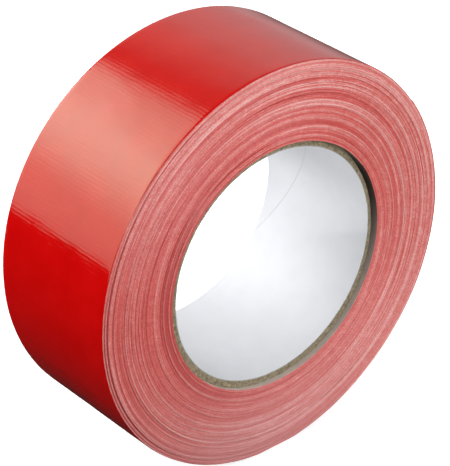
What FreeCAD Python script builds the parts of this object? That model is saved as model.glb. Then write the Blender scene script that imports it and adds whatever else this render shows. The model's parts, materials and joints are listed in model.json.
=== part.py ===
import FreeCAD, Part
import math
import os

# A roll of cloth-backed duct tape on a paperboard core, standing on its rim.
#
# Row frame, millimetres: the origin is the centre of the core's bore, halfway across the tape.
# +Y runs along the axis of the roll from its front face to its back face, and +Z is up.
# Angles are measured about that axis from +X towards +Z.
#
# Each piece is drawn with the roll lying flat, front face up, and is then stood on its rim,
# so a height in the drawing is a distance from the middle of the tape towards the front.

# The tape: a strip of three bonded layers, wound on the core.
TAPE_WIDTH = 48.0
TAPE_LENGTH = 50000.0
FILM = 0.06
SCRIM = 0.06
ADHESIVE = 0.05

# The core: a white paper liner inside strips of board, all wound as helices side by side.
BORE_RADIUS = 38.0
LINER = 0.3
BOARD = 0.42
BOARD_PLIES = 5
CORE_INSET_FRONT = 1.2
CORE_INSET_BACK = 0.4
STRIP_LEAD = 131.0
LINER_SEAM_ANGLE = 31.6
SEAM_GAP = 0.25

# The soft outer turns give a little under the roll's weight, which leaves a narrow flat below.
REST_FLAT = 12.0
REST_ANGLE = -90.0

# The free end of the tape: a stretch that peels off the roll as a chain of short links.
FREE_END_ANGLE = 35.0
LINKS = 6
LINK_ANGLE = 12.0
LINK_CLEARANCE = 0.02

TAPE = FILM + SCRIM + ADHESIVE
CORE_RADIUS = BORE_RADIUS + LINER + BOARD_PLIES * BOARD
CORE_LENGTH = TAPE_WIDTH - CORE_INSET_FRONT - CORE_INSET_BACK
CORE_BACK = -TAPE_WIDTH / 2 + CORE_INSET_BACK

# The strip's edge area is spread over a ring around the core, which gives the roll's radius.
ROLL_RADIUS = math.sqrt(CORE_RADIUS**2 + TAPE_LENGTH * TAPE / math.pi)

# The outermost turn is a spiral of four tangent arcs. Each arc is larger than the one before
# it by a quarter of the tape's thickness, and its centre is a corner of a square that small.
QUARTERS = 4
QUARTER_ANGLE = 360.0 / QUARTERS
RISE = TAPE / QUARTERS
TURN_START_ANGLE = FREE_END_ANGLE - 360.0
PEEL_ANGLE = FREE_END_ANGLE - LINKS * LINK_ANGLE

# How far a cutting tool runs past what it cuts.
OVERRUN = 0.25


def direction(angle):
    """The unit vector at an angle about the axis."""
    return FreeCAD.Vector(math.cos(math.radians(angle)), math.sin(math.radians(angle)), 0)


def quarter_centre(quarter):
    """The centre of one arc of the spiral, a corner of its square."""
    next_boundary = TURN_START_ANGLE + (quarter + 1) * QUARTER_ANGLE
    return (direction(next_boundary) + direction(next_boundary + QUARTER_ANGLE)) * (RISE / 2)


def turn_radius(quarter, depth):
    """The radius of one arc of the spiral, at a depth under the roll's surface."""
    return ROLL_RADIUS - (QUARTERS - 1 - quarter) * RISE - depth


def turn_point(angle, quarter, depth):
    """A point of the outermost turn, at a depth under the roll's surface."""
    return quarter_centre(quarter) + direction(angle) * turn_radius(quarter, depth)


def quarter_arc(first, last, quarter, depth):
    """One arc of the spiral."""
    corners = [turn_point(angle, quarter, depth) for angle in (first, (first + last) / 2, last)]
    return Part.Arc(*corners).toShape()


def flat_half_angle(quarter, depth):
    """Half the angle that the flat below takes out of its arc; every layer bends alike over it."""
    surface = turn_radius(quarter, 0)
    height = math.sqrt(surface**2 - (REST_FLAT / 2)**2) - depth
    return math.degrees(math.acos(height / turn_radius(quarter, depth)))


def turn_path(start, end, depth):
    """The outermost turn's outline from one angle to another, at a depth under the roll's surface."""
    path = []
    for quarter in range(QUARTERS):
        first = max(start, TURN_START_ANGLE + quarter * QUARTER_ANGLE)
        last = min(end, TURN_START_ANGLE + (quarter + 1) * QUARTER_ANGLE)
        if first < REST_ANGLE < last:
            half = flat_half_angle(quarter, depth)
            path.append(quarter_arc(first, REST_ANGLE - half, quarter, depth))
            path.append(Part.makeLine(
                turn_point(REST_ANGLE - half, quarter, depth),
                turn_point(REST_ANGLE + half, quarter, depth),
            ))
            path.append(quarter_arc(REST_ANGLE + half, last, quarter, depth))
        elif last > first:
            path.append(quarter_arc(first, last, quarter, depth))
    return path


def ends(path):
    """The first and last points of a run of edges."""
    return path[0].Vertexes[0].Point, path[-1].Vertexes[-1].Point


def across_the_tape(edges):
    """A closed outline made into a solid as wide as the tape."""
    outline = Part.Wire(Part.__sortEdges__(edges))
    outline.translate(FreeCAD.Vector(0, 0, -TAPE_WIDTH / 2))
    return Part.Face(outline).extrude(FreeCAD.Vector(0, 0, TAPE_WIDTH))


def layer(start, end, top, thickness):
    """One layer of the tape, between two angles of the outermost turn."""
    outside = turn_path(start, end, top)
    inside = turn_path(start, end, top + thickness)
    outside_start, outside_end = ends(outside)
    inside_start, inside_end = ends(inside)
    sides = [
        Part.makeLine(outside_start, inside_start),
        Part.makeLine(outside_end, inside_end),
    ]
    return across_the_tape(outside + inside + sides)


def wound_turns():
    """All turns but the outermost: a ring around the core, with the step where that turn starts."""
    surface = turn_path(TURN_START_ANGLE, FREE_END_ANGLE, TAPE)
    step = Part.makeLine(*ends(surface))
    ring = across_the_tape(surface + [step])
    base = FreeCAD.Vector(0, 0, -TAPE_WIDTH / 2 - OVERRUN)
    hole = Part.makeCylinder(CORE_RADIUS, TAPE_WIDTH + 2 * OVERRUN, base)
    return ring.cut(hole)


def seam(radius, thickness, seam_angle):
    """The gap between neighbouring turns of a strip, a helix that crosses the core's middle at an angle."""
    rear = CORE_BACK - OVERRUN
    height = CORE_LENGTH + 2 * OVERRUN
    path = Part.makeHelix(STRIP_LEAD, height, radius)
    path.rotate(FreeCAD.Vector(), FreeCAD.Vector(0, 0, 1), seam_angle + 360 * rear / STRIP_LEAD)
    path.translate(FreeCAD.Vector(0, 0, rear))
    start = path.Vertexes[0].Point
    outwards = FreeCAD.Vector(start.x, start.y, 0).normalize() * thickness
    upwards = FreeCAD.Vector(0, 0, SEAM_GAP / 2)
    corners = [
        start - outwards - upwards,
        start + outwards - upwards,
        start + outwards + upwards,
        start - outwards + upwards,
    ]
    section = Part.makePolygon(corners + corners[:1])
    return Part.Wire(path.Edges).makePipeShell([section], True, True)


def core_strip(radius, thickness, seam_angle):
    """One strip of the core: a thin tube, open along its helical seam."""
    base = FreeCAD.Vector(0, 0, CORE_BACK)
    outer = Part.makeCylinder(radius + thickness, CORE_LENGTH, base)
    inner = Part.makeCylinder(radius, CORE_LENGTH, base)
    return outer.cut(inner).cut(seam(radius + thickness / 2, thickness, seam_angle))


def save(name, shape):
    """Stand one piece on the roll's rim and write it."""
    shape.rotate(FreeCAD.Vector(), FreeCAD.Vector(1, 0, 0), 90)
    assert shape.isValid(), name
    shape.exportStep(f"parts/{name}.step")


def main():
    os.makedirs("parts", exist_ok=True)

    save("core_liner", core_strip(BORE_RADIUS, LINER, LINER_SEAM_ANGLE))
    for ply in range(BOARD_PLIES):
        radius = BORE_RADIUS + LINER + ply * BOARD
        seam_angle = LINER_SEAM_ANGLE + (ply + 1) * 360 / (BOARD_PLIES + 1)
        save(f"core_ply_{ply + 1}", core_strip(radius, BOARD, seam_angle))

    save("wound_turns", wound_turns())

    layers = {
        "film": (0, FILM),
        "scrim": (FILM, SCRIM),
        "adhesive": (FILM + SCRIM, ADHESIVE),
    }
    for name, (depth, thickness) in layers.items():
        save(f"outer_turn_{name}", layer(TURN_START_ANGLE, PEEL_ANGLE, depth, thickness))
        for link in range(LINKS):
            start = PEEL_ANGLE + link * LINK_ANGLE
            shape = layer(start, start + LINK_ANGLE, depth - LINK_CLEARANCE, thickness)
            save(f"free_end_{name}_{link + 1}", shape)


if __name__ == "__main__":
    main()
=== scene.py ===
import json
import math
import random

import bmesh
import bpy
import numpy as np
from mathutils import Matrix, Vector, noise


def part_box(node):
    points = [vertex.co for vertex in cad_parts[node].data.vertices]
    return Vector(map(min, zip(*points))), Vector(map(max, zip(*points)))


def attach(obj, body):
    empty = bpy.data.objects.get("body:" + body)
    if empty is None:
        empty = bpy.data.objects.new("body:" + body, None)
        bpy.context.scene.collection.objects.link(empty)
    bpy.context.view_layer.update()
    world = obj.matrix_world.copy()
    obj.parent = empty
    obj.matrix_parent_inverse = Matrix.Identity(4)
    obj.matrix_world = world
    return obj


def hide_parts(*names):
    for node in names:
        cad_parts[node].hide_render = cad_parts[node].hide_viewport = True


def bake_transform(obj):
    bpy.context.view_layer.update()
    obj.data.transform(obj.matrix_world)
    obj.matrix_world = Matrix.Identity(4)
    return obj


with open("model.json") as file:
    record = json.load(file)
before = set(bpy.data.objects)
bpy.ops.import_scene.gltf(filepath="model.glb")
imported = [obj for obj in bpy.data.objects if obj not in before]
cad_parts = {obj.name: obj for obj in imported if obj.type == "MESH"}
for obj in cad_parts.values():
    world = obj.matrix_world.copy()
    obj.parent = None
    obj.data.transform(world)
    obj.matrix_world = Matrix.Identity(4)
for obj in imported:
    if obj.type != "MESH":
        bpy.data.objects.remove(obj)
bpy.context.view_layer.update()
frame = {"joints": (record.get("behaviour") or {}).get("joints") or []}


# The core's liner: the strip of smooth white paper that faces the bore. It is wound as a helix on
# the mandrel before the board, edge to edge, so a single slanting seam crosses the bore. One edge
# stands a little proud at the seam, and the ends are sawn with the board. Angles are in degrees.
MM = 0.001
liner_thickness = 0.3 * MM
strip_lead = 131 * MM
liner_seam_angle = 31.6
seam_gap = 0.03 * MM
liner_raggedness = 0.07 * MM
liner_lip = 0.04 * MM
lip_width = 2.2 * MM
end_reach = 8 * MM
fine_tear = 0.7 * MM
coarse_tear = 3.5 * MM
core_wave = 0.035 * MM
core_wavelength = 9 * MM
strip_rows = 61
strip_columns = 541
strip_levels = 4
crush_angle = 22
crush_reach = 34
liner_white = (0.605, 0.614, 0.638)
liner_shade = (0.585, 0.595, 0.618)


def on_roll(radius, angle, across):
    """Points at a radius and an angle in degrees about the roll's axis, and a place along it."""
    turned = np.radians(angle)
    return np.stack(np.broadcast_arrays(radius * np.cos(turned), across, radius * np.sin(turned)), -1)


def turned_from(angle, centre):
    """How far an angle is from another, between -180 and 180 degrees."""
    return (angle - centre + 180) % 360 - 180


def near_crush(angle):
    """How near an angle is to where the core's end is crushed, from 0 to 1."""
    return np.exp(-((turned_from(angle, crush_angle) / crush_reach) ** 2))


def quads(corner, right, opposite, left):
    """Rows of four-sided faces, from four equally large tables of vertex numbers."""
    return np.stack([corner, right, opposite, left], -1).reshape(-1, 4)


def make_piece(name, points, faces, materials, flat_map=None, material_of_face=None):
    """A mesh object with outward faces, smooth but for its real edges."""
    mesh = bpy.data.meshes.new(name)
    mesh.from_pydata(points.tolist(), [], faces)
    if flat_map is not None:
        layer = mesh.uv_layers.new(name="tape")
        corners = np.zeros(len(mesh.loops), np.int32)
        mesh.loops.foreach_get("vertex_index", corners)
        layer.data.foreach_set("uv", flat_map[corners].astype(np.float32).ravel())
    for material in materials:
        mesh.materials.append(material)
    if material_of_face is not None:
        mesh.polygons.foreach_set("material_index", material_of_face)
    shape = bmesh.new()
    shape.from_mesh(mesh)
    bmesh.ops.recalc_face_normals(shape, faces=shape.faces)
    shape.to_mesh(mesh)
    shape.free()
    mesh.shade_smooth()
    mesh.set_sharp_from_angle(angle=math.radians(40))
    piece = bpy.data.objects.new(name, mesh)
    bpy.context.scene.collection.objects.link(piece)
    return piece


def make_sheet(name, levels, materials, flat_map=None):
    """A closed sheet of material, from tables of points that go from its top to its underside.
    A second material, where there is one, shows on its cut sides."""
    numbers = np.arange(levels[..., 0].size).reshape(levels.shape[:3])
    top = numbers[0]
    under = numbers[-1]
    faces = [
        quads(top[:-1, :-1], top[:-1, 1:], top[1:, 1:], top[1:, :-1]),
        quads(under[:-1, :-1], under[1:, :-1], under[1:, 1:], under[:-1, 1:]),
    ]
    for rim in (numbers[:, 0], numbers[:, -1, ::-1], numbers[:, ::-1, 0], numbers[:, :, -1]):
        faces.append(quads(rim[:-1, :-1], rim[1:, :-1], rim[1:, 1:], rim[:-1, 1:]))
    cut = np.zeros(sum(len(block) for block in faces), np.int32)
    if len(materials) > 1:
        cut[len(faces[0]) * 2:] = 1
    faces = np.concatenate(faces)
    used, faces = np.unique(faces, return_inverse=True)
    points = levels.reshape(-1, 3)[used]
    if flat_map is not None:
        flat_map = np.broadcast_to(flat_map, levels.shape[:3] + (2,)).reshape(-1, 2)[used]
    return make_piece(name, points, faces.reshape(-1, 4).tolist(), materials, flat_map, cut)


def uneven(points, wavelength, seed):
    """Smooth noise between about -1 and 1 at each point, from another part of it for each seed."""
    flat = points.reshape(-1, 3) / wavelength + seed * 7.3
    return np.array([noise.noise(Vector(p)) for p in flat]).reshape(points.shape[:-1]) * 1.6


def core_strip(name, materials, radius, thickness, seam_angle, raggedness, lip, crush):
    """One helical strip of the core: its cut ends are uneven and may be crushed back at one place,
    and one of its edges may stand proud at the seam."""
    low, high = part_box(name)
    across = np.linspace(low.y, high.y, strip_rows)
    gap = math.degrees(seam_gap / strip_lead * math.tau / 2)
    around = np.linspace(gap, 360 - gap, strip_columns)
    depth = np.linspace(0, 1, strip_levels)
    depth, across, around = np.meshgrid(depth, across, around, indexing="ij")
    angle = seam_angle - 360 * across / strip_lead + around
    flat = on_roll(radius, angle, across)
    near_end = np.clip(np.maximum(across - high.y, low.y - across) / end_reach + 1, 0, 1) ** 2
    sawn = on_roll(radius, angle, depth * 2 * MM)
    ragged = uneven(sawn, fine_tear, seam_angle) + uneven(sawn, coarse_tear, seam_angle) * 0.7
    crushed = crush * near_crush(angle)
    across = across + np.sign(across) * near_end * (raggedness * ragged - crushed)
    seam_side = np.exp(-around * math.radians(1) * radius / lip_width)
    wave = uneven(flat, core_wavelength, 3) * core_wave
    return make_sheet(
        name,
        on_roll(radius + depth * thickness - lip * seam_side + wave, angle, across),
        materials,
    )


def new_finish(name, roughness):
    """A material, its node tree, its shader and a function that adds a node to it."""
    finish = bpy.data.materials.new(name)
    finish.use_nodes = True
    tree = finish.node_tree
    shader = tree.nodes["Principled BSDF"]
    shader.inputs["Roughness"].default_value = roughness

    def add(kind, links=(), **settings):
        node = tree.nodes.new(kind)
        for key, value in settings.items():
            if key in node.inputs:
                node.inputs[key].default_value = value
            else:
                setattr(node, key, value)
        for source, target in links:
            tree.links.new(source, node.inputs[target])
        return node

    return finish, tree, shader, add


def two_colours(add, share, low, high, dark, light):
    """A ramp from one colour to another, as a share goes from low to high."""
    ramp = add("ShaderNodeValToRGB", [(share, 0)])
    ramp.color_ramp.elements[0].position = low
    ramp.color_ramp.elements[0].color = (*dark, 1)
    ramp.color_ramp.elements[1].position = high
    ramp.color_ramp.elements[1].color = (*light, 1)
    return ramp.outputs["Color"]


def liner_paper():
    """Calendered white paper: nearly flat, with soft clouds of shade and a very fine fibre grain."""
    finish, tree, shader, add = new_finish("liner_paper", 0.5)
    place = add("ShaderNodeTexCoord").outputs["Object"]
    clouds = add("ShaderNodeTexNoise", [(place, "Vector")], Scale=160, Detail=4)
    grain = add("ShaderNodeTexNoise", [(place, "Vector")], Scale=5200, Detail=2)
    colour = two_colours(add, clouds.outputs["Fac"], 0.30, 0.62, liner_shade, liner_white)
    bump = add("ShaderNodeBump", [(grain.outputs["Fac"], "Height")], Strength=0.12, Distance=0.02 * MM)
    tree.links.new(colour, shader.inputs["Base Color"])
    tree.links.new(bump.outputs["Normal"], shader.inputs["Normal"])
    return finish


def cut_paper():
    """The liner's sawn edge: torn fibre, browned with dust from the board behind it."""
    finish, tree, shader, add = new_finish("cut_paper", 0.85)
    place = add("ShaderNodeTexCoord").outputs["Object"]
    fibres = add("ShaderNodeTexNoise", [(place, "Vector")], Scale=1800, Detail=4)
    colour = two_colours(add, fibres.outputs["Fac"], 0.32, 0.66, (0.20, 0.18, 0.14), (0.40, 0.385, 0.35))
    bump = add("ShaderNodeBump", [(fibres.outputs["Fac"], "Height")], Strength=0.6, Distance=0.05 * MM)
    tree.links.new(colour, shader.inputs["Base Color"])
    tree.links.new(bump.outputs["Normal"], shader.inputs["Normal"])
    return finish


liner_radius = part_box("core_liner")[1].x - liner_thickness
liner_finishes = [liner_paper(), cut_paper()]
liner = core_strip(
    "core_liner",
    liner_finishes,
    liner_radius,
    liner_thickness,
    liner_seam_angle,
    liner_raggedness,
    liner_lip,
    crush=0,
)
liner.name = "liner"
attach(liner, "roll")
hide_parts("core_liner")


# The core's board: five strips of grey-brown chipboard, glued over the liner in the same helix
# with their seams staggered. The tube is sawn to length, which leaves rough ends, and on the right
# the outer strips' ends are crushed back behind the liner.
board_plies = 5
board_thickness = 0.42 * MM
ply_crush = {1: 0, 2: 0, 3: 0.3 * MM, 4: 1.2 * MM, 5: 3.0 * MM}
board_dark = (0.095, 0.074, 0.042)
board_light = (0.350, 0.290, 0.185)


def chipboard():
    """Recycled board: a coarse grey-brown felt of fibres, with darker and paler flecks."""
    finish, tree, shader, add = new_finish("chipboard", 0.85)
    place = add("ShaderNodeTexCoord").outputs["Object"]
    fibres = add("ShaderNodeTexNoise", [(place, "Vector")], Scale=2400, Detail=5, Roughness=0.75)
    patches = add("ShaderNodeTexNoise", [(place, "Vector")], Scale=700, Detail=3)
    faint = add("ShaderNodeMath", [(patches.outputs["Fac"], 0)], operation="MULTIPLY")
    faint.inputs[1].default_value = 0.35
    both = add(
        "ShaderNodeMath",
        [(fibres.outputs["Fac"], 0), (faint.outputs[0], 2)],
        operation="MULTIPLY_ADD",
    )
    both.inputs[1].default_value = 0.65
    colour = two_colours(add, both.outputs[0], 0.41, 0.60, board_dark, board_light)
    bump = add("ShaderNodeBump", [(fibres.outputs["Fac"], "Height")], Strength=0.7, Distance=0.03 * MM)
    tree.links.new(colour, shader.inputs["Base Color"])
    tree.links.new(bump.outputs["Normal"], shader.inputs["Normal"])
    return finish


board = chipboard()
for number in range(1, board_plies + 1):
    raggedness = (0.04 + 0.012 * number) * MM
    ply = core_strip(
        f"core_ply_{number}",
        [board],
        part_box(f"core_ply_{number}")[1].x - board_thickness,
        board_thickness,
        liner_seam_angle + number * 360 / (board_plies + 1),
        raggedness,
        lip=0,
        crush=ply_crush[number],
    )
    ply.name = f"board_ply_{number}"
    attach(ply, "roll")
    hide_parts(f"core_ply_{number}")


# The fuzz on the core's sawn ends: paper fibres that the blade tore loose from the board just
# behind the liner. They stand in little tufts, still held in the board at their roots.
fuzz_tufts = 46
hairs_in_tuft = 9
fuzz_radius = 0.022 * MM
fuzz_depth = 0.25 * MM
fuzz_root = 0.10 * MM
fuzz_size = (0.35 * MM, 0.95 * MM)
tuft_spread = 0.35 * MM
fuzz_random = random.Random(41)


def hair(path, radius):
    """A thin three-sided hair along a path, drawn to a point."""
    sides = 3
    ahead = (path[-1] - path[0]).normalized()
    aside = ahead.orthogonal().normalized()
    points = []
    for step, place in enumerate(path[:-1]):
        width = radius * (1 - 0.6 * step / (len(path) - 1))
        for side in range(sides):
            turn = Matrix.Rotation(math.tau * side / sides, 3, ahead)
            points.append(place + turn @ aside * width)
    points.append(path[-1])
    faces = [tuple(range(sides))]
    for step in range(len(path) - 2):
        for side in range(sides):
            here = step * sides + side
            beside = step * sides + (side + 1) % sides
            faces.append((here, beside, beside + sides, here + sides))
    tip = len(points) - 1
    last = tip - sides
    faces += [(last + side, last + (side + 1) % sides, tip) for side in range(sides)]
    return points, faces


def many_hairs(name, paths, radius, material):
    """All the hairs of one kind as a single piece."""
    points = []
    faces = []
    for path in paths:
        hair_points, hair_faces = hair(path, radius)
        faces += [tuple(len(points) + corner for corner in face) for face in hair_faces]
        points += hair_points
    return make_piece(name, np.array([tuple(p) for p in points]), faces, [material])


def fuzz_tuft():
    """A tuft of fibres that leaves a sawn end behind the liner, and curls in over its edge."""
    end = fuzz_random.choice((0, 0, 1))
    outwards = (-1, 1)[end]
    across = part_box("core_ply_3")[end].y
    deep = fuzz_random.uniform(0, fuzz_depth)
    middle = fuzz_random.uniform(0, math.tau)
    size = fuzz_random.uniform(*fuzz_size)
    paths = []
    for _ in range(hairs_in_tuft):
        angle = middle + fuzz_random.gauss(0, tuft_spread) / liner_radius
        radial = Vector((math.cos(angle), 0, math.sin(angle)))
        along = Vector((-math.sin(angle), 0, math.cos(angle)))
        root = radial * (liner_radius + liner_thickness + deep)
        root.y = across - outwards * fuzz_root
        length = size * fuzz_random.uniform(0.5, 1.1)
        lean = along * fuzz_random.uniform(-0.8, 0.8) - radial * fuzz_random.uniform(0.5, 1.2)
        lean.y = outwards * fuzz_random.uniform(0.05, 0.35)
        curl = along * fuzz_random.uniform(-1, 1) + radial * fuzz_random.uniform(-0.6, 0.6)
        steps = [0, 0.25, 0.5, 0.75, 1]
        paths.append([root + (lean.normalized() * s + curl * s * s * 0.5) * length for s in steps])
    return paths


def paper_fibre():
    """Torn paper fibre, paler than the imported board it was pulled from."""
    finish, tree, shader, add = new_finish("paper_fibre", 0.85)
    place = add("ShaderNodeTexCoord").outputs["Object"]
    strands = add("ShaderNodeTexNoise", [(place, "Vector")], Scale=900, Detail=3)
    colour = two_colours(add, strands.outputs["Fac"], 0.35, 0.65, (0.36, 0.32, 0.23), (0.62, 0.57, 0.45))
    tree.links.new(colour, shader.inputs["Base Color"])
    return finish


tufts = [path for _ in range(fuzz_tufts) for path in fuzz_tuft()]
fuzz = many_hairs("board_fuzz", tufts, fuzz_radius, paper_fibre())
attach(fuzz, "roll")


# The wound tape: about 150 turns of one strip under the outermost turn, pulled tight by the
# winder. The side face is the strip's own slit edge, turn on turn. The tape wandered a little as
# it was wound, so some turns stand proud and others lie back in a groove; the proud turns are
# painted paler and the grooves a darker red, as painted highlight and painted shade.
tape_thickness = 0.17 * MM
turn_steps = 128
skin_strips = 18
hinges = [Vector(joint["pos_m"]) for joint in frame["joints"]]
hinge_angles = [math.degrees(math.atan2(place.z, place.x)) for place in hinges]
link_angle = hinge_angles[1] - hinge_angles[0]
free_end_angle = hinge_angles[-1] + link_angle
end_radius = hinges[0].xz.length + tape_thickness * (free_end_angle - hinge_angles[0]) / 360
core_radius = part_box(f"core_ply_{board_plies}")[1].x
half_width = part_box("wound_turns")[1].y
rest_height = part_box("outer_turn_film")[0].z
face_swell = 0.45 * MM
swell_width = 4 * MM
settling_depth = 2.5 * MM
valley_depth = 0.035 * MM
# How dark the tape's inner wall is painted where the core's end is crushed back: painted shade of that
# recess.
recess_shade_share = 0.92
cross_pitch = 1.30 * MM
# Where the side face is painted greyer and darker, partly dust and partly painted shade.
dust_and_shade_angle = 255
dust_and_shade_reach = 48
dust_and_shade_share = 0.75

# How the edge wanders: how quickly it changes round the roll and from turn to turn, the seed of
# its noise, and how far it goes in mm.
wandering = ((0.5, 0.13, 11, 0.07), (0.6, 0.42, 12, 0.09), (0.9, 1.31, 13, 0.10))

# The fine lines between: how many there are to a turn, the seed of their noise, how far proud
# they stand in mm, and how wide they are, from 0 for a hairline to 1 for no gap between them.
fine_lines = ((0.085, 14, 0.24, 0.24), (0.22, 15, 0.14, 0.45), (0.15, 16, -0.20, 0.30))

# The colours of the slit edge, from its deepest grooves to its proudest turns, which paint shade
# into the grooves and highlight onto the proud turns, and those of the film, the cloth and the
# adhesive across one turn.
edge_colours = (
    (0.10, (0.36, 0.012, 0.014)),
    (0.32, (0.56, 0.058, 0.053)),
    (0.54, (0.63, 0.135, 0.120)),
    (0.76, (0.69, 0.265, 0.245)),
    (1.00, (0.88, 0.560, 0.530)),
)
layer_colours = (
    (0.30, (0.52, 0.03, 0.03)),
    (0.42, (0.72, 0.29, 0.26)),
    (0.95, (0.62, 0.17, 0.15)),
)

# The turns that stand out: radius and half width in mm, how far proud in mm, and the angle in
# degrees where it is strongest with how far round it reaches to either side.
proud_turns = (
    (65.4, 0.16, 0.10, 30, 110),
    (65.50, 0.10, 0.14, 185, 90),
    (65.20, 0.08, -0.16, 185, 90),
    (64.85, 0.16, 0.20, 185, 90),
    (64.28, 0.14, -0.42, 185, 80),
    (63.88, 0.11, 0.24, 180, 85),
    (62.8, 0.14, 0.20, 35, 75),
    (62.3, 0.14, -0.18, 200, 60),
    (61.8, 0.11, 0.20, 220, 60),
    (60.5, 0.16, 0.12, 100, 80),
    (59.2, 0.10, 0.16, 320, 90),
    (58.0, 0.16, 0.28, 245, 90),
    (57.1, 0.18, 0.22, 60, 90),
    (56.3, 0.10, 0.14, 150, 60),
    (55.2, 0.11, -0.13, 90, 130),
    (54.3, 0.14, -0.22, 190, 90),
    (53.2, 0.15, 0.20, 60, 80),
    (52.8, 0.15, 0.32, 270, 110),
    (51.9, 0.16, 0.26, 40, 80),
    (51.2, 0.12, -0.12, 300, 80),
    (50.3, 0.14, -0.24, 150, 110),
    (48.6, 0.12, 0.12, 20, 90),
    (47.4, 0.14, 0.16, 130, 80),
    (46.4, 0.12, -0.12, 330, 90),
    (45.2, 0.13, -0.24, 170, 90),
    (44.2, 0.15, 0.22, 165, 90),
    (43.0, 0.20, -0.20, 150, 110),
    (41.1, 0.40, -0.14, 60, 150),
)


def radius_of_turn(turns):
    """The tape's outer surface, as a count of turns back from its free end, which is zero."""
    return end_radius + tape_thickness * turns


def settled(points):
    """Points of the roll, moved up where the rim has settled flat under its own weight."""
    depth = np.maximum(radius_of_turn(0) - np.hypot(points[..., 0], points[..., 2]), 0)
    below = np.clip(rest_height + depth - points[..., 2], 0, None)
    points[..., 2] += below * np.exp(-depth / settling_depth)
    return points


def edge_shift(turns):
    """How far the tape's edge stands proud of the side face, along the whole strip."""
    turns = np.asarray(turns, float)
    angle = free_end_angle + 360 * turns
    radius = radius_of_turn(turns)
    ring = on_roll(1.0, angle, turns)
    shift = np.zeros(turns.shape)
    for round_roll, turn_by_turn, seed, proud in wandering:
        shift += uneven(ring * (round_roll, turn_by_turn, round_roll), 1.0, seed) * proud
    outward = np.interp(radius / MM, (42, 46, 50, 54, 58, 65), (0.7, 0.6, 0.55, 0.9, 1.0, 1.3))
    for per_turn, seed, proud, width in fine_lines:
        wander = uneven(ring * (0.35, 0.3 * per_turn, 0.35), 1.0, seed)
        line = np.sin(math.pi * (turns * per_turn + 0.8 * wander))
        here = np.clip(uneven(ring * (0.7, 0.15, 0.7), 1.0, seed + 20) + 0.55, 0, 1)
        shift += proud * outward * here * np.exp(-((line / width) ** 2))
    for centre, half, proud, strongest, reach in proud_turns:
        away = turned_from(angle, strongest)
        fade = np.clip(1.25 - np.abs(away) / reach, 0, 1) ** 0.8
        shift += proud * fade * np.exp(-(((radius / MM - centre) / half) ** 2))
    return shift * MM


def side_swell(radius):
    """The side face swells a little between the core and the rim."""
    share = np.clip((end_radius - radius) / swell_width, 0, 1)
    return face_swell * (1 - (1 - share) ** 2)


def many_colours(add, share, stops):
    """A ramp through several colours, each with the share where it stands."""
    ramp = add("ShaderNodeValToRGB", [(share, 0)])
    elements = ramp.color_ramp.elements
    for element, (position, colour) in zip(elements, (stops[0], stops[-1])):
        element.position = position
        element.color = (*colour, 1)
    for position, colour in stops[1:-1]:
        elements.new(position).color = (*colour, 1)
    return ramp.outputs["Color"]


def tape_edges():
    """The slit edge of the tape seen turn on turn: in each turn a line of red film, one of cut
    threads and one of adhesive, which the slitting knife has smeared over one another. It is painted
    pale where it is proud and deep red in the grooves, as painted highlight and painted shade, is
    greyed low on the roll by dust and painted shade, and is speckled with thread ends."""
    finish, tree, shader, add = new_finish("tape_edges", 0.42)
    # This attribute carries painted light: grooves painted darker, proud turns paler, and painted shade on
    # the left, at the bottom and on the last turns.
    tone = add("ShaderNodeAttribute", attribute_name="edge_painted_light").outputs["Fac"]
    place = add("ShaderNodeTexCoord").outputs["Object"]
    ends = add("ShaderNodeTexNoise", [(place, "Vector")], Scale=2600, Detail=2)
    smears = add("ShaderNodeTexNoise", [(place, "Vector")], Scale=420, Detail=3)
    broken = add("ShaderNodeMath", [(ends.outputs["Fac"], 0), (tone, 2)], operation="MULTIPLY_ADD")
    broken.inputs[1].default_value = 1.1
    smeared = add(
        "ShaderNodeMath", [(smears.outputs["Fac"], 0), (broken.outputs[0], 2)], operation="MULTIPLY_ADD"
    )
    smeared.inputs[1].default_value = 0.40
    paleness = many_colours(add, smeared.outputs[0], edge_colours)
    turn_depth = add("ShaderNodeAttribute", attribute_name="turn_depth").outputs["Fac"]
    through_turn = add("ShaderNodeMath", [(turn_depth, 0)], operation="FRACT")
    layers = many_colours(add, through_turn.outputs[0], layer_colours)
    mixed = add("ShaderNodeMix", [(paleness, 6), (layers, 7)], data_type="RGBA")
    mixed.inputs[0].default_value = 0.35
    # Dust and painted shade: low on the roll the edges are mixed towards a darker grey-pink.
    dust_and_shade = add("ShaderNodeAttribute", attribute_name="edge_dust_and_shade").outputs["Fac"]
    dusted_and_shaded = add("ShaderNodeMix", [(dust_and_shade, 0), (mixed.outputs[2], 6)], data_type="RGBA")
    dusted_and_shaded.inputs[7].default_value = (0.43, 0.195, 0.19, 1)
    bump = add("ShaderNodeBump", [(ends.outputs["Fac"], "Height")], Strength=0.5, Distance=0.06 * MM)
    tree.links.new(dusted_and_shaded.outputs[2], shader.inputs["Base Color"])
    tree.links.new(bump.outputs["Normal"], shader.inputs["Normal"])
    return finish


def edge_dust_and_shade(radius, angle):
    """Where the edges are painted greyer and darker, partly dust and partly painted shade: low on
    the roll, and more towards the rim.
    """
    outward = np.clip((radius - core_radius) / (end_radius - core_radius), 0, 1)
    near_dust_and_shade = np.exp(-((turned_from(angle, dust_and_shade_angle) / dust_and_shade_reach) ** 2))
    return dust_and_shade_share * (0.35 + 0.65 * outward) * near_dust_and_shade


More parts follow.
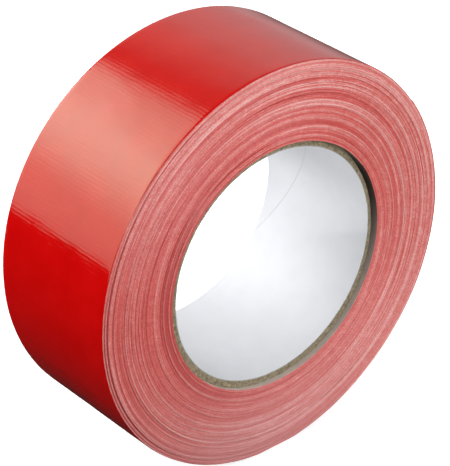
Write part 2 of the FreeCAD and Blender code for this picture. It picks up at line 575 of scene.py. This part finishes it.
def edge_painted_light(radius, angle, height):
    """How pale the edge is painted at each point: paler where it stands proud and darker in the
    grooves, as painted highlight and painted shade, with more painted light and shade round the face.
    """
    # The turns next to the core are redder, most of all on the left, where the extra red is painted shade.
    near_core = np.interp(radius / MM, (41, 45, 50, 53, 58), (-0.11, -0.06, -0.01, 0.06, 0.02))
    near_core = near_core * (0.85 - 0.25 * np.cos(np.radians(angle - 30)))
    # Painted shade: all turns are a little redder on the left, and more so further in.
    leftward = (0.5 - 0.5 * np.cos(np.radians(angle))) ** 2
    inward = np.clip((end_radius - radius) / (end_radius - core_radius), 0, 1)
    # Towards the rim they are painted paler at the top and darker at the bottom: painted light and shade.
    near_rim = np.interp(radius / MM, (58, 62, 65), (0, 0.11, 0.08))
    near_rim = near_rim * np.cos(np.radians(angle - 70))
    # Painted shade: the last few turns are deep red at the top right, where their edge lies back.
    last_turns = np.exp(-(((radius / MM - 65.75) / 0.25) ** 2))
    last_turns = last_turns * np.clip(1.5 * np.cos(np.radians(angle - 50)), 0, 1)
    shade = near_core + near_rim - leftward * (0.03 + 0.13 * inward) - 0.24 * last_turns
    # From how proud each point stands: paler on proud turns and darker in grooves, as painted highlight and
    # painted shade.
    return -0.17 + shade + height / MM * 2.2


def red_film():
    """Glossy red polyethylene: deep colour, the cloth's weave showing through as fine ribs that are
    never quite even, and faint streaks across the tape from how it was stretched on."""
    finish, tree, shader, add = new_finish("red_film", 0.13)
    shader.inputs["IOR"].default_value = 1.52
    shader.inputs["Specular Tint"].default_value = (0.35, 0.88, 0.63, 1)
    where = add("ShaderNodeUVMap", uv_map="tape").outputs["UV"]
    split = add("ShaderNodeSeparateXYZ", [(where, 0)])
    drift = add("ShaderNodeTexNoise", [(where, "Vector")], Scale=220, Detail=3)
    heights = []
    for axis, pitch, wander in (("X", 1.15 * MM, 3.2), ("Y", cross_pitch, 3.0)):
        count = add("ShaderNodeMath", [(split.outputs[axis], 0)], operation="MULTIPLY")
        count.inputs[1].default_value = math.tau / pitch
        phase = add(
            "ShaderNodeMath",
            [(drift.outputs["Fac"], 0), (count.outputs[0], 2)],
            operation="MULTIPLY_ADD",
        )
        phase.inputs[1].default_value = wander
        heights.append(add("ShaderNodeMath", [(phase.outputs[0], 0)], operation="SINE").outputs[0])
    weave = add("ShaderNodeMath", [(heights[1], 0), (heights[0], 2)], operation="MULTIPLY_ADD")
    weave.inputs[1].default_value = 0.6
    drawn = add("ShaderNodeVectorMath", [(where, 0)], operation="MULTIPLY")
    drawn.inputs[1].default_value = (1, 0.20, 1)
    streaks = add(
        "ShaderNodeTexNoise", [(drawn.outputs[0], "Vector")], Scale=620, Detail=5, Roughness=0.62
    )
    ribs = add(
        "ShaderNodeMath",
        [(streaks.outputs["Fac"], 0), (weave.outputs[0], 2)],
        operation="MULTIPLY_ADD",
    )
    ribs.inputs[1].default_value = 14
    pressed = add("ShaderNodeMath", [(ribs.outputs[0], 0)], operation="MULTIPLY")
    patchy = add("ShaderNodeTexNoise", [(where, "Vector")], Scale=90, Detail=2)
    tree.links.new(patchy.outputs["Fac"], pressed.inputs[1])
    fine = add("ShaderNodeBump", [(pressed.outputs[0], "Height")], Strength=1.0, Distance=0.0055 * MM)
    colour = two_colours(
        add, patchy.outputs["Fac"], 0.35, 0.65, (0.50, 0.001, 0.001), (0.54, 0.002, 0.002)
    )
    gloss = add("ShaderNodeMapRange", [(drift.outputs["Fac"], 0)])
    gloss.inputs["To Min"].default_value = 0.05
    gloss.inputs["To Max"].default_value = 0.10
    tree.links.new(colour, shader.inputs["Base Color"])
    tree.links.new(gloss.outputs[0], shader.inputs["Roughness"])
    tree.links.new(fine.outputs["Normal"], shader.inputs["Normal"])
    return finish


def tacky_adhesive():
    """Soft natural rubber adhesive: off-white, with the cloth pressed into it as a grid of cells.
    Where the core's end is crushed back, the wall it leaves is painted nearly black: painted shade
    of that recess."""
    finish, tree, shader, add = new_finish("tacky_adhesive", 0.38)
    where = add("ShaderNodeUVMap", uv_map="tape").outputs["UV"]
    split = add("ShaderNodeSeparateXYZ", [(where, 0)])
    heights = []
    for axis, pitch in (("X", 1.84 * MM), ("Y", cross_pitch)):
        count = add("ShaderNodeMath", [(split.outputs[axis], 0)], operation="MULTIPLY")
        count.inputs[1].default_value = math.tau / pitch
        wave = add("ShaderNodeMath", [(count.outputs[0], 0)], operation="SINE")
        ridge = add("ShaderNodeMath", [(wave.outputs[0], 0)], operation="POWER")
        ridge.inputs[1].default_value = 4
        heights.append(ridge.outputs[0])
    threads = add("ShaderNodeMath", [(heights[0], 0), (heights[1], 1)], operation="MAXIMUM")
    smear = add("ShaderNodeTexNoise", [(where, "Vector")], Scale=700, Detail=4)
    both = add("ShaderNodeMath", [(smear.outputs["Fac"], 0), (threads.outputs[0], 1)], operation="ADD")
    colour = two_colours(add, both.outputs[0], 0.3, 1.0, (0.60, 0.46, 0.40), (0.82, 0.72, 0.65))
    # Painted shade: the inner wall is darkened nearly to black where the core is crushed back, in the
    # recess's shadow.
    painted_recess_shade = add("ShaderNodeAttribute", attribute_name="painted_recess_shade").outputs["Fac"]
    shaded = add("ShaderNodeMix", [(painted_recess_shade, 0), (colour, 6)], data_type="RGBA")
    shaded.inputs[7].default_value = (0.05, 0.03, 0.02, 1)
    bump = add("ShaderNodeBump", [(both.outputs[0], "Height")], Strength=0.7, Distance=0.04 * MM)
    tree.links.new(shaded.outputs[2], shader.inputs["Base Color"])
    tree.links.new(bump.outputs["Normal"], shader.inputs["Normal"])
    return finish


def wound_tape(name, materials):
    """The spiral of turns as one piece. Its side faces have a ridge for each turn, on one long
    spiral of points, and its outside is the surface that the outermost turn lies on."""
    whole_turns = int((end_radius - core_radius) / tape_thickness) - 2
    last = whole_turns * turn_steps
    step = np.arange(last + turn_steps + 1)
    outer = -1 - step / turn_steps
    middle = outer[: last + 1] - 0.5
    ridge = edge_shift(outer[: last + 1])
    valley = (edge_shift(outer) + edge_shift(outer + 1)) / 2 - valley_depth
    # The side faces: a line along the valleys and one along the ridges, in front and behind.
    sides = []
    for facing in (-1, 1):
        for turns, height in ((outer, valley), (middle, ridge)):
            radius = radius_of_turn(turns)
            angle = free_end_angle + 360 * outer[: len(turns)]
            swell = side_swell(radius) if facing < 0 else 0
            sides.append(settled(on_roll(radius, angle, facing * (half_width + swell) - height)))
    # The outside of the last wound turn, in strips from the front edge to the back edge.
    skin = [sides[0][: turn_steps + 1]]
    for row in range(1, skin_strips):
        share = row / skin_strips
        line = sides[0][: turn_steps + 1].copy()
        line[:, 1] = line[:, 1] * (1 - share) + sides[2][: turn_steps + 1, 1] * share
        skin.append(line)
    points = np.concatenate(sides + skin[1:])
    starts = np.cumsum([0] + [len(block) for block in sides + skin[1:]])
    front_valley, front_ridge, back_valley, back_ridge = (
        np.arange(starts[i], starts[i + 1]) for i in range(4)
    )
    faces = []
    for valleys, ridges in ((front_valley, front_ridge), (back_valley, back_ridge)):
        faces.append(quads(valleys[:last], valleys[1 : last + 1], ridges[1:], ridges[:-1]))
        inner = valleys[turn_steps:]
        faces.append(quads(ridges[:-1], ridges[1:], inner[1:], inner[:-1]))
    side_faces = sum(len(block) for block in faces)
    skin_rows = [front_valley[: turn_steps + 1]]
    skin_rows += [np.arange(starts[i], starts[i + 1]) for i in range(4, len(starts) - 1)]
    skin_rows.append(back_valley[: turn_steps + 1])
    for row, beside in zip(skin_rows, skin_rows[1:]):
        faces.append(quads(row[:-1], row[1:], beside[1:], beside[:-1]))
    skin_faces = sum(len(block) for block in faces)
    front_bore = front_valley[last:]
    back_bore = back_valley[last:]
    faces.append(quads(front_bore[:-1], front_bore[1:], back_bore[1:], back_bore[:-1]))
    faces = np.concatenate(faces).tolist()
    # The steps where the strip begins and ends, which close the spiral.
    outer_step = [int(row[0]) for row in skin_rows] + [int(back_ridge[0])]
    outer_step += [int(row[-1]) for row in reversed(skin_rows)] + [int(front_ridge[0])]
    inner_step = (
        front_valley[last], front_ridge[last], front_valley[-1],
        back_valley[-1], back_ridge[last], back_valley[last],
    )
    faces += [outer_step, [int(corner) for corner in inner_step]]
    of_face = np.zeros(len(faces), np.int32)
    of_face[side_faces:skin_faces] = 1
    of_face[-2] = 1
    of_face[skin_faces:-2] = 2
    turn_map = np.concatenate([outer, outer[: last + 1], outer, outer[: last + 1]])
    turn_map = np.concatenate([turn_map] + [outer[: turn_steps + 1]] * (skin_strips - 1))
    flat_map = np.stack([turn_map * math.tau * end_radius, points[:, 1]], -1)
    piece = make_piece(name, points, faces, materials, flat_map, of_face)
    side_points = points[: starts[4]]
    on_skin = np.zeros(len(points) - starts[4])
    angles = np.degrees(np.arctan2(side_points[:, 2], side_points[:, 0]))
    radii = np.hypot(side_points[:, 0], side_points[:, 2])
    # These attributes carry painted light and shade: the side face's tone, its dust and shade low on the
    # roll, and shade on the inner wall by the crushed core.
    painted = {
        "edge_painted_light": edge_painted_light(radii, angles, np.concatenate([valley, ridge, -valley, -ridge])),
        "edge_dust_and_shade": edge_dust_and_shade(radii, angles),
        "turn_depth": -np.concatenate([outer, middle, outer, middle]),
        "painted_recess_shade": recess_shade_share * near_crush(angles),
    }
    for quality, values in painted.items():
        attribute = piece.data.attributes.new(quality, "FLOAT", "POINT")
        attribute.data.foreach_set("value", np.concatenate([values, on_skin]).astype(np.float32))
    return piece


film_red = red_film()
adhesive = tacky_adhesive()
wound = wound_tape("wound_tape", [tape_edges(), film_red, adhesive])
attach(wound, "roll")
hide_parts("wound_turns")


# The outermost turn and the free end: the same strip of tape, in its three bonded layers. It is
# stuck down as far as the first hinge. From there on each layer is cut halfway along each link,
# so one length lies over each hinge.
layer_tops = {"film": 0.0, "scrim": 0.06 * MM, "adhesive": 0.12 * MM}
layer_thickness = {"film": 0.06 * MM, "scrim": 0.06 * MM, "adhesive": 0.05 * MM}
turn_start_angle = free_end_angle - 360
cut_angles = [angle - link_angle / 2 for angle in hinge_angles]
cut_angles.append(hinge_angles[-1] + link_angle / 2)
outer_turn_step = 0.8
free_end_step = 0.5
long_wave = 11 * MM
long_wave_height = 0.042 * MM
short_wave = 4.5 * MM
short_wave_height = 0.013 * MM
end_lift = 0.02 * MM
torn_reach = 1.5
torn_depth = 0.20
roll_share = 0.015
edge_recess = {"film": 0.0, "scrim": 0.24 * MM, "adhesive": 0.20 * MM}
edge_roll = {"film": 0.09 * MM, "scrim": 0.03 * MM, "adhesive": 0.0}


def film_wave(angle, across):
    """The film never lies quite even: low soft waves that bend what it reflects."""
    place = on_roll(end_radius, angle, across)
    low = uneven(place * (1, 0.8, 1), long_wave, 31) * long_wave_height
    return low + uneven(place * (1, 0.7, 1), short_wave, 32) * short_wave_height


def tape_layer(name, layer, materials, start, end, angle_step):
    """One layer of the tape between two angles, with the strip's own wandering edges. The film's
    wave dies out through the layers, so the adhesive lies even on the turn below."""
    around = np.linspace(start, end, max(3, int((end - start) / angle_step) + 1))
    rows = np.concatenate([[-1, -0.995], np.linspace(-0.98, 0.98, 45), [0.995, 1]])
    turns = (around - free_end_angle) / 360
    shift = edge_shift(turns)
    swell = side_swell(radius_of_turn(turns))
    across = rows[:, None] * (half_width + swell / 2 - edge_recess[layer]) - shift[None, :]
    angle = np.broadcast_to(around, across.shape)
    at_end = np.clip((angle - free_end_angle) / torn_reach + 1, 0, 1)
    along_tear = across[..., None] * (1, 0, 0)
    torn = uneven(along_tear, 3.5 * MM, 61) + 0.6 * uneven(along_tear, 0.9 * MM, 62)
    angle = angle + at_end * torn * torn_depth
    lift = np.clip((angle - hinge_angles[0]) / (free_end_angle - hinge_angles[0]), 0, 1)
    at_edge = np.clip((np.abs(rows[:, None]) - 1) / roll_share + 1, 0, 1)
    rolled = at_edge**2 * edge_roll[layer]
    surface = radius_of_turn(turns)[None, :] + end_lift * lift**3 - rolled
    wave = film_wave(angle, across)
    levels = []
    for depth in (layer_tops[layer], layer_tops[layer] + layer_thickness[layer]):
        waved = surface - depth + wave * (1 - depth / tape_thickness)
        levels.append(settled(on_roll(waved, angle, across)))
    levels = np.stack(levels)
    flat_map = np.stack([turns[None, :] * math.tau * end_radius + 0 * across, across], -1)
    return make_sheet(name, levels, materials, flat_map)


def lay_tape(layer, materials):
    """All lengths of one layer: the stuck-down turn, one over each hinge, and the last half link."""
    stuck = tape_layer(
        f"{layer}_outer_turn", layer, materials, turn_start_angle, cut_angles[0], outer_turn_step
    )
    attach(stuck, "roll")
    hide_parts(f"outer_turn_{layer}")
    bodies = ["roll"] + [joint["child"] for joint in frame["joints"]]
    for number, hinge in enumerate(hinge_angles):
        near_cut = cut_angles[number]
        far_cut = cut_angles[number + 1]
        length = tape_layer(
            f"{layer}_free_end_{number + 1}", layer, materials, near_cut, far_cut, free_end_step
        )
        start = on_roll(end_radius, hinge if number == 0 else near_cut, 0)
        end = on_roll(end_radius, far_cut, 0)
        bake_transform(length)
        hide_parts(f"free_end_{layer}_{number + 1}")
    tip = tape_layer(
        f"{layer}_free_end_tip", layer, materials, cut_angles[-1], free_end_angle, free_end_step
    )
    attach(tip, bodies[-1])


def cloth_thread():
    """Polyester and cotton yarn, pink with dust from the film, seen edge on under it."""
    finish, tree, shader, add = new_finish("cloth_thread", 0.8)
    where = add("ShaderNodeUVMap", uv_map="tape").outputs["UV"]
    fluff = add("ShaderNodeTexNoise", [(where, "Vector")], Scale=2600, Detail=3)
    colour = two_colours(add, fluff.outputs["Fac"], 0.3, 0.7, (0.46, 0.17, 0.15), (0.70, 0.36, 0.32))
    bump = add("ShaderNodeBump", [(fluff.outputs["Fac"], "Height")], Strength=0.6, Distance=0.03 * MM)
    tree.links.new(colour, shader.inputs["Base Color"])
    tree.links.new(bump.outputs["Normal"], shader.inputs["Normal"])
    return finish


yarn = cloth_thread()
lay_tape("film", [film_red])
lay_tape("scrim", [yarn])
lay_tape("adhesive", [adhesive])


# The frayed end: where the tape was torn off by hand, the cloth's threads stick out past the film
# by different lengths. Each is still bonded between the film and the adhesive at its root.
thread_pitch = 1.3 * MM
thread_radius = 0.045 * MM
thread_length = (0.5 * MM, 1.9 * MM)
thread_root = 0.4 * MM
cloth_depth = 0.09 * MM
thread_random = random.Random(7)


def frayed_thread(across):
    """The path of one thread, from inside the tape out past the torn end."""
    length = thread_random.uniform(*thread_length)
    drift = thread_random.uniform(-0.3, 0.3)
    rise = thread_random.uniform(0.0, 0.10)
    path = []
    for share in (0, 0.35, 0.7, 1):
        reach = share * length
        angle = free_end_angle + math.degrees((reach - thread_root) / end_radius)
        radius = end_radius - cloth_depth + rise * share * reach
        path.append(Vector(on_roll(radius, angle, across + drift * share * reach).tolist()))
    return path


threads_across = int(half_width / thread_pitch)
thread_places = [thread_pitch * place for place in range(-threads_across, threads_across + 1)]
thread_paths = [frayed_thread(place) for place in thread_places]
fray = many_hairs("frayed_threads", thread_paths, thread_radius, yarn)
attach(fray, frame["joints"][-1]["child"])


# The studio: a pale sweep of paper under and round the roll. Behind the roll stand a large softbox
# with a black card across one corner, a panel and a weak top light, which the film mirrors, and
# three small spots that light the bore. Two soft lights in front light the side face.
sweep_radius = 3.0
sweep_height = 2.4
sweep_bend = 0.8
bend_steps = 12
sweep_steps = 96


def pale_paper():
    """Matt, nearly white background paper, evenly lit from behind."""
    finish, tree, shader, add = new_finish("pale_paper", 0.95)
    place = add("ShaderNodeTexCoord").outputs["Object"]
    mottle = add("ShaderNodeTexNoise", [(place, "Vector")], Scale=3, Detail=2)
    colour = two_colours(add, mottle.outputs["Fac"], 0.3, 0.7, (0.80, 0.80, 0.80), (0.82, 0.82, 0.82))
    tree.links.new(colour, shader.inputs["Base Color"])
    shader.inputs["Emission Color"].default_value = (1, 1, 1, 1)
    shader.inputs["Emission Strength"].default_value = 0.66
    return finish


def soft_light(name, towards, distance, width, height, brightness, turn=0, shades=(), flag=None):
    """A rectangular soft light that faces the roll. Brightness is what its face shows, and shades
    are places up its face from 0 to 1, each with the share of the brightness there. A flag is a
    black card held across it: a place on its edge, the way it covers, and how soft the edge is."""
    lamp = bpy.data.lights.new(name, "AREA")
    lamp.shape = "RECTANGLE"
    lamp.size = width
    lamp.size_y = height
    lamp.energy = brightness * math.pi * width * height
    if shades:
        lamp.use_nodes = True
        tree = lamp.node_tree
        place_on_face = tree.nodes.new("ShaderNodeNewGeometry").outputs["Parametric"]
        up_the_face = tree.nodes.new("ShaderNodeSeparateXYZ")
        tree.links.new(place_on_face, up_the_face.inputs[0])
        ramp = tree.nodes.new("ShaderNodeValToRGB")
        ramp.color_ramp.interpolation = "EASE"
        tree.links.new(up_the_face.outputs["Y"], ramp.inputs[0])
        stops = ramp.color_ramp.elements
        while len(stops) < len(shades):
            stops.new(0.5)
        for stop, (position, share) in zip(stops, shades):
            stop.position = position
            stop.color = (share, share, share, 1)
        tree.links.new(ramp.outputs["Color"], tree.nodes["Emission"].inputs["Color"])
    if flag:
        place, covers, softness = flag
        from_edge = tree.nodes.new("ShaderNodeVectorMath")
        from_edge.operation = "SUBTRACT"
        from_edge.inputs[1].default_value = (*place, 0)
        tree.links.new(place_on_face, from_edge.inputs[0])
        covered = tree.nodes.new("ShaderNodeVectorMath")
        covered.operation = "DOT_PRODUCT"
        covered.inputs[1].default_value = (*covers, 0)
        tree.links.new(from_edge.outputs[0], covered.inputs[0])
        let_through = tree.nodes.new("ShaderNodeMapRange")
        let_through.inputs["From Min"].default_value = -softness
        let_through.inputs["From Max"].default_value = softness
        let_through.inputs["To Min"].default_value = 1
        let_through.inputs["To Max"].default_value = 0
        tree.links.new(covered.outputs["Value"], let_through.inputs["Value"])
        tree.links.new(let_through.outputs[0], tree.nodes["Emission"].inputs["Strength"])
    light = bpy.data.objects.new(name, lamp)
    towards = Vector(towards).normalized()
    light.location = towards * distance
    aim = (-towards).to_track_quat("-Z", "Y")
    spin = Matrix.Rotation(math.radians(turn), 3, "Z").to_quaternion()
    light.rotation_euler = (aim @ spin).to_euler()
    light.visible_camera = False
    bpy.context.scene.collection.objects.link(light)


sweep_profile = [(0.0, 0.0)]
for step in range(bend_steps + 1):
    bend = math.radians(90 * step / bend_steps)
    radius = sweep_radius - sweep_bend + sweep_bend * math.sin(bend)
    sweep_profile.append((radius, sweep_bend - sweep_bend * math.cos(bend)))
sweep_profile.append((sweep_radius, sweep_height))
sweep_points = [(0, 0, rest_height)]
for radius, height in sweep_profile[1:]:
    for step in range(sweep_steps):
        turn = math.tau * step / sweep_steps
        sweep_points.append((radius * math.cos(turn), radius * math.sin(turn), rest_height + height))
sweep_faces = []
for step in range(sweep_steps):
    beside = (step + 1) % sweep_steps
    sweep_faces.append((0, 1 + step, 1 + beside))
    for ring in range(len(sweep_profile) - 2):
        low = 1 + ring * sweep_steps
        sweep_faces.append((low + step, low + sweep_steps + step, low + sweep_steps + beside, low + beside))
sweep_mesh = bpy.data.meshes.new("sweep")
sweep_mesh.from_pydata(sweep_points, [], sweep_faces)
sweep_mesh.materials.append(pale_paper())
sweep_mesh.shade_smooth()
sweep = bpy.data.objects.new("sweep", sweep_mesh)
bpy.context.scene.collection.objects.link(sweep)
sweep.visible_glossy = False
sweep.visible_diffuse = False
sweep.visible_shadow = False

softbox_shades = (
    (0.090, 0), (0.092, 0.28), (0.296, 0.38), (0.631, 1), (0.794, 0.62), (0.868, 0.45), (1, 0.40)
)
panel_shades = ((0, 0.03), (0.26, 0.12), (0.46, 0.60), (0.72, 0.86), (0.83, 0.58), (0.93, 0.28), (1, 0.05))
top_shades = ((0, 0), (0.5, 1), (1, 0))
softbox_flag = ((0.18, 0.892), (-1.52, 0.543), 0.10)
soft_light(
    "left_softbox", (-0.595, 0.659, 0.445), 0.9, 1.5, 1.2, 6.4, shades=softbox_shades, flag=softbox_flag
)
soft_light("right_panel", (0.752, 0.659, 0.10), 0.9, 1.6, 1.5, 1.0, turn=14, shades=panel_shades)
soft_light("top_panel", (0.16, 0.659, 0.736), 0.9, 1.0, 0.7, 0.33, shades=top_shades)
soft_light("face_light", (-0.15, -0.95, 0.15), 1.5, 1.2, 1.2, 4.2)
soft_light("sheen_light", (0.55, -0.72, 0.42), 1.5, 1.0, 1.0, 3.6)

# The three spots reach the inside of the core from behind, each through a snoot that keeps its
# light off the rest of the roll.
for name, place, energy in (
    ("bore_light_left", (-0.52, 0.74, -0.26), 12),
    ("bore_light_low", (-0.30, 0.74, -0.50), 24),
    ("bore_light_top", (-0.05, 0.84, 0.42), 21),
):
    snoot = bpy.data.lights.new(name, "SPOT")
    snoot.spot_size = math.radians(5.0)
    snoot.spot_blend = 0.6
    snoot.shadow_soft_size = 0.02
    snoot.energy = energy
    bore_light = bpy.data.objects.new(name, snoot)
    bore_light.location = place
    bore_light.rotation_euler = (-Vector(place)).to_track_quat("-Z", "Y").to_euler()
    bore_light.visible_camera = False
    bpy.context.scene.collection.objects.link(bore_light)

sky = bpy.data.worlds.new("studio")
sky.use_nodes = True
sky.node_tree.nodes["Background"].inputs["Color"].default_value = (0.9, 0.9, 0.92, 1)
sky.node_tree.nodes["Background"].inputs["Strength"].default_value = 0.02
bpy.context.scene.world = sky

camera_data = bpy.data.cameras.new("camera")
camera_data.sensor_width = 36
camera_data.lens = 173.5
camera_data.shift_x = -0.0008
camera_data.shift_y = 0.0056
camera_data.clip_start = 0.01
camera = bpy.data.objects.new("camera", camera_data)
camera_azimuth = math.radians(-40.19)
camera_elevation = math.radians(30.385)
camera_distance = 0.685
away = Vector((
    math.sin(camera_azimuth) * math.cos(camera_elevation),
    -math.cos(camera_azimuth) * math.cos(camera_elevation),
    math.sin(camera_elevation),
))
camera.location = away * camera_distance
camera.rotation_euler = (-away).to_track_quat("-Z", "Y").to_euler()
bpy.context.scene.collection.objects.link(camera)
bpy.context.scene.camera = camera
bpy.context.scene.view_settings.view_transform = "Standard"
